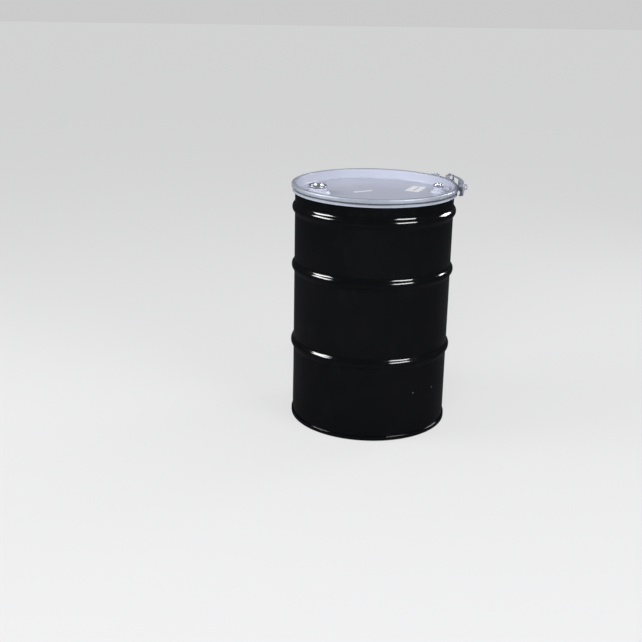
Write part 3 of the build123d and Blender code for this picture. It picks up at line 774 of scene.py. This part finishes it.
def cover_paint():
    """Gloss pale blue-grey enamel with faint handling marks, darker in patches in the corner at the foot of
    the recess wall.
    """
    f = Finish("cover_paint", Metallic=0.0, IOR=1.5, Specular_IOR_Level=0.3, Coat_Weight=0.04,
               Coat_Roughness=0.12)
    radius, z = f.axis_distance()
    corner = f.between(radius, PANEL_EDGE_R - 0.01, PANEL_EDGE_R + 0.004)
    low = f.between(z, PANEL_Z + 0.009, PANEL_Z + 0.001)
    corner_darkening = f.times(f.times(corner, low), f.between(f.noise(45.0, 6.0, 0.65), 0.35, 0.75))
    streaks = f.between(f.noise(85.0, 5.0, 0.7, stretch=(1, 6, 1)), 0.62, 0.75)
    marks = f.specks(140.0, 0.03, 0.10, f.between(f.noise(11.0, 3.0, shift=(1, 5, 0)), 0.62, 0.68))

    colour = f.mix(f.noise(6.0, 5.0, 0.55), *PALE_ENAMEL)
    colour = f.mix(f.times(corner_darkening, 0.30), colour, PALE_CORNER_DARK)
    colour = f.mix(f.times(streaks, 0.04), colour, PALE_STREAK)
    colour = f.mix(f.times(marks, 0.5), colour, PALE_SPECK)
    rough = f.between(f.noise(22.0, 5.0, 0.6), 0.3, 0.75, 0.30, 0.40)
    return f.done(colour, rough, f.bump(f.noise(260.0, 2.0), 0.00006, 0.35))


def zinc(name, shades, rough, metallic=1.0, grain=(1, 1, 30), spangle=70.0, shade_and_dulling=None):
    """Zinc-plated steel: mottled crystals, drawn grain and dulled patches.

    The optional function gives the share of painted shade, colour darkened to stand for the shade in grooves
    and sockets, and the share of dullness at a point.
    """
    f = Finish(name, Metallic=metallic, IOR=1.5)
    tone = f.add("ShaderNodeSeparateColor", {"Color": f.cells(spangle)["Color"]}).outputs["Red"]
    mottle = f.math("ADD", f.times(tone, 0.35), f.times(f.noise(30.0, 5.0), 0.65))
    dull = f.between(f.noise(14.0, 5.0, 0.6, shift=(2, 2, 2)), 0.5, 0.75)
    drawn = f.noise(120.0, 4.0, 0.6, stretch=grain)
    colour = f.mix(f.times(dull, 0.35), f.mix(mottle, *shades), tuple(0.72 * c for c in shades[0]))
    roughness = f.between(f.math("ADD", drawn, f.times(dull, 0.3)), 0.3, 1.0, *rough)
    if shade_and_dulling:
        shade_share, dulled = shade_and_dulling(f)
        patchy = f.between(f.noise(24.0, 5.0), 0.2, 0.5, 0.6, 1.0)
        # painted shade: the colour is darkened where the function puts shade
        colour = f.mix(f.times(shade_share, f.times(patchy, 0.88)), colour, ZINC_PAINTED_SHADE)
        roughness = f.math("ADD", roughness, f.times(dulled, 0.34), clamp=True)
    return f.done(colour, roughness, f.bump(drawn, 0.00005, 0.5))


def ring_groove_shade(f):
    """Painted shade in the groove under the ring's rounded top, and a dull hem below it."""
    height = f.axis_distance()[1]
    away = f.math("ABSOLUTE", f.math("SUBTRACT", height, GROOVE_Z + 0.0006))
    # painted shade: darker along the groove
    groove_shade = f.between(away, 0.0008, 0.0065, 1.0, 0.0)
    return groove_shade, f.between(height, HEM_Z + 0.005, HEM_Z + 0.009, 1.0, 0.0)


def cup_socket_shade(f):
    """Painted shade and dark reflection in the plugs' sockets and round them on the floor of the cup, which
    the same share also dulls.
    """
    shade_share = 0.0
    for bung, sizes in BUNGS.items():
        middle, top = BUNG_PLACES[bung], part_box(f"{bung}_plug")[1].z
        here = f.near((middle.x, middle.y, top - CUP_DEPTH), 1.55 * sizes["socket"])
        # painted shade: darker near each socket on the cup's floor
        shade_share = f.math("MAXIMUM", shade_share, f.between(here, 0.05, 0.5))
    return shade_share, shade_share


def rubber(name, colour, rough):
    """Matt moulded rubber or seaming compound with a fine skin and pale bloom."""
    f = Finish(name, Metallic=0.0, IOR=1.45)
    bloom = f.between(f.noise(40.0, 5.0, 0.65), 0.45, 0.8)
    bloomed = tuple(min(1.0, 2.2 * c + 0.03) for c in colour)
    roughness = f.between(f.noise(90.0, 4.0), 0.3, 0.7, rough - 0.1, rough + 0.1)
    skin = f.bump(f.noise(700.0, 3.0), 0.00006, 0.6)
    return f.done(f.mix(f.times(bloom, 0.25), colour, bloomed), roughness, skin)


def label_film():
    """Blank white film with faint creases and greyish smudges; the printed rule is plain grey."""
    f = Finish("label_film", Metallic=0.0, IOR=1.45)
    smudge = f.between(f.noise(35.0, 5.0, 0.7, shift=(5, 0, 1)), 0.58, 0.78)
    colour = f.mix(f.times(smudge, 0.12), f.mix(f.noise(60.0, 5.0), *FILM_COLOUR), FILM_SMUDGE)
    rule = f.add("ShaderNodeAttribute", attribute_name="printed").outputs["Fac"]
    rough = f.between(f.noise(50.0, 3.0), 0.3, 0.7, 0.28, 0.42)
    return f.done(f.mix(rule, colour, FILM_PRINT), rough, f.bump(f.noise(120.0, 3.0, 0.6), 0.00012, 0.35))


# ---------------------------------------------------------------- camera and studio

CAMERA_PLACE = Vector((-0.657, -3.731, 1.606))
CAMERA_HEADING = radians(7.2)  # from +Y towards +X
CAMERA_PITCH = radians(18.28)  # below the horizon
CAMERA_ROLL = radians(1.15)
CAMERA_LENS, SENSOR_WIDTH = 59.39, 36.0  # in millimetres
CAMERA_REACH = 200.0

FLOOR_HALF = 30.0
FLOOR_PALE, FLOOR_DARK = (0.80, 0.80, 0.81, 1), (0.06, 0.06, 0.06, 1)
FLOOR_GLOW, GLOW_SHARE = 0.82, 0.70      # evens the floor out where the camera sees it
SURROUND_SEEN, SURROUND_LIGHT = (0.60, 0.60, 0.605, 1), (0.92, 0.95, 1.0, 1)
AMBIENT, AMBIENT_REFLECTED = 0.34, 0.035

LIGHTS_AIM = Vector((0, 0, 0.55))
# name, degrees round from the camera, degrees up, distance, size, power in reflections, power for the rest
SOFTBOXES = (
    ("left_box", -77, 28, 3.2, (1.5, 0.9), 100, 45),
    ("right_box", 46, 27, 3.4, (1.6, 0.9), 100, 45),
    ("rim_box", 125, 26, 3.2, (1.0, 0.8), 60, 25),
    ("top_box", 180, 70, 3.0, (2.4, 1.8), 6, 11),
    ("front_box", -8, 24, 4.6, (2.0, 1.4), 0, 105),
)


def point_along(holder, direction, roll=0.0):
    """Turns a camera or light so that it looks along a direction, rolled about it."""
    turned = direction.to_track_quat("-Z", "Y").to_matrix() @ Matrix.Rotation(roll, 3, "Z")
    holder.rotation_mode = "QUATERNION"
    holder.rotation_quaternion = turned.to_quaternion()


def make_camera():
    camera = bpy.data.cameras.new("camera")
    camera.sensor_width = SENSOR_WIDTH
    camera.lens = CAMERA_LENS
    camera.clip_end = CAMERA_REACH
    holder = new_object("camera", camera)
    holder.location = CAMERA_PLACE
    flat = Vector((sin(CAMERA_HEADING), cos(CAMERA_HEADING), 0)) * cos(CAMERA_PITCH)
    point_along(holder, flat - Vector((0, 0, sin(CAMERA_PITCH))), CAMERA_ROLL)
    bpy.context.scene.camera = holder


def mix_shaders(tree, share, first, second):
    return add_node(tree, "ShaderNodeMixShader", {0: share, 1: first.outputs[0], 2: second.outputs[0]})


def make_floor():
    """Plain pale floor, which is dark in the drum's reflections, as the photo's surroundings are."""
    half = FLOOR_HALF
    corners = [(-half, -half, 0), (half, -half, 0), (half, half, 0), (-half, half, 0)]
    piece = new_object("floor", plain_mesh("floor", corners, [(0, 1, 2, 3)]))
    material = bpy.data.materials.new("floor")
    material.use_nodes = True
    piece.data.materials.append(material)
    tree = material.node_tree
    pale = tree.nodes["Principled BSDF"]
    pale.inputs["Base Color"].default_value = FLOOR_PALE
    pale.inputs["Roughness"].default_value = 0.9
    dark = add_node(tree, "ShaderNodeBsdfDiffuse", {"Color": FLOOR_DARK})
    glow = add_node(tree, "ShaderNodeEmission", {"Strength": FLOOR_GLOW})
    rays = add_node(tree, "ShaderNodeLightPath").outputs
    surface = mix_shaders(tree, rays["Is Glossy Ray"], pale, dark)
    seen = mix_shaders(tree, GLOW_SHARE, surface, glow)
    shown = mix_shaders(tree, rays["Is Camera Ray"], surface, seen)
    tree.links.new(shown.outputs[0], tree.nodes["Material Output"].inputs[0])


def make_surround():
    """Pale surround for the camera, soft ambient light, and next to nothing in reflections."""
    world = bpy.data.worlds.new("surround")
    bpy.context.scene.world = world
    world.use_nodes = True
    tree = world.node_tree
    seen = tree.nodes["Background"]
    seen.inputs["Color"].default_value = SURROUND_SEEN
    ambient, reflected = (
        add_node(tree, "ShaderNodeBackground", {"Color": SURROUND_LIGHT, "Strength": strength})
        for strength in (AMBIENT, AMBIENT_REFLECTED)
    )
    rays = add_node(tree, "ShaderNodeLightPath").outputs
    light = mix_shaders(tree, rays["Is Glossy Ray"], ambient, reflected)
    shown = mix_shaders(tree, rays["Is Camera Ray"], light, seen)
    tree.links.new(shown.outputs[0], tree.nodes["World Output"].inputs[0])


def make_lights():
    """Rectangular softboxes, each a pair of lights in one place: one for reflections, one for the rest."""
    facing = atan2(CAMERA_PLACE.y, CAMERA_PLACE.x)
    for name, round_by, up_by, distance, size, shine, fill in SOFTBOXES:
        toward, elevation = facing + radians(round_by), radians(up_by)
        away = Vector((cos(toward) * cos(elevation), sin(toward) * cos(elevation), sin(elevation)))
        for use, power in (("shine", shine), ("fill", fill)):
            if not power:
                continue
            light = bpy.data.lights.new(f"{name}_{use}", "AREA")
            light.shape = "RECTANGLE"
            light.size, light.size_y = size
            light.energy = power
            holder = new_object(f"{name}_{use}", light)
            holder.location = LIGHTS_AIM + away * distance
            point_along(holder, -away)
            holder.visible_camera = False
            holder.visible_diffuse = use == "fill"
            holder.visible_glossy = use == "shine"


# ---------------------------------------------------------------- assembly

def refinish(finish, *nodes):
    """Gives a finish to CAD nodes whose shape stays as it is."""
    for node in nodes:
        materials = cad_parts[node].data.materials
        materials.clear()
        materials.append(finish)


make_camera()
make_floor()
make_surround()
make_lights()
bpy.context.scene.view_settings.view_transform = "Standard"

black = body_paint()
galvanised = zinc("galvanised", LATCH_COLOUR, (0.42, 0.58), metallic=0.35)
ring_zinc = zinc("ring_zinc", RING_COLOUR, (0.42, 0.58), metallic=0.30, shade_and_dulling=ring_groove_shade)
plug_zinc = zinc("plug_zinc", PLUG_COLOUR, (0.26, 0.40), metallic=0.9, grain=(1, 1, 8), spangle=260.0,
                 shade_and_dulling=cup_socket_shade)
rivet_steel = zinc("rivet_steel", RIVET_COLOUR, (0.22, 0.42), grain=(6, 6, 1), spangle=420.0)
film = label_film()

make_body(black)
make_bottom(black)
make_cover(cover_paint())
make_ring(ring_zinc)
for bung in BUNGS:
    make_plug(bung, plug_zinc)
make_label("label_strip", STRIP_LENGTH, STRIP_WIDTH, STRIP_TURN, film)
make_label("label_card", CARD_LENGTH, CARD_WIDTH, CARD_TURN, film, CARD_RULE)

for node, name, body, edge in (
    ("lever", "lever_pressing", "lever", SHEET_EDGE),
    ("lever_bracket", "lever_bracket_pressing", "closing_ring", SHEET_EDGE),
    ("keeper_bracket", "keeper_bracket_pressing", "closing_ring", SHEET_EDGE),
    ("hasp_staple", "seal_tongue", "closing_ring", TONGUE_EDGE),
    ("link_strap", "link_bar", "link", SHEET_EDGE),
):
    refine(node, name, body, galvanised, edge)
for node, name, body in (
    ("pivot_rivets", "pivot_rivet_pair", "closing_ring"),
    ("link_pin", "link_rivet", "lever"),
    ("link_crossbar", "hook_crossbar", "link"),
):
    refine(node, name, body, rivet_steel, RIVET_EDGE)

refinish(plug_zinc, "main_flange", "vent_flange")
refinish(rubber("gasket_rubber", RUBBER_COLOUR, 0.62), "lid_gasket", "main_flange_gasket",
         "vent_flange_gasket", "main_plug_gasket", "vent_plug_gasket")
refinish(rubber("seam_compound", COMPOUND_COLOUR, 0.7), "chime_sealant")
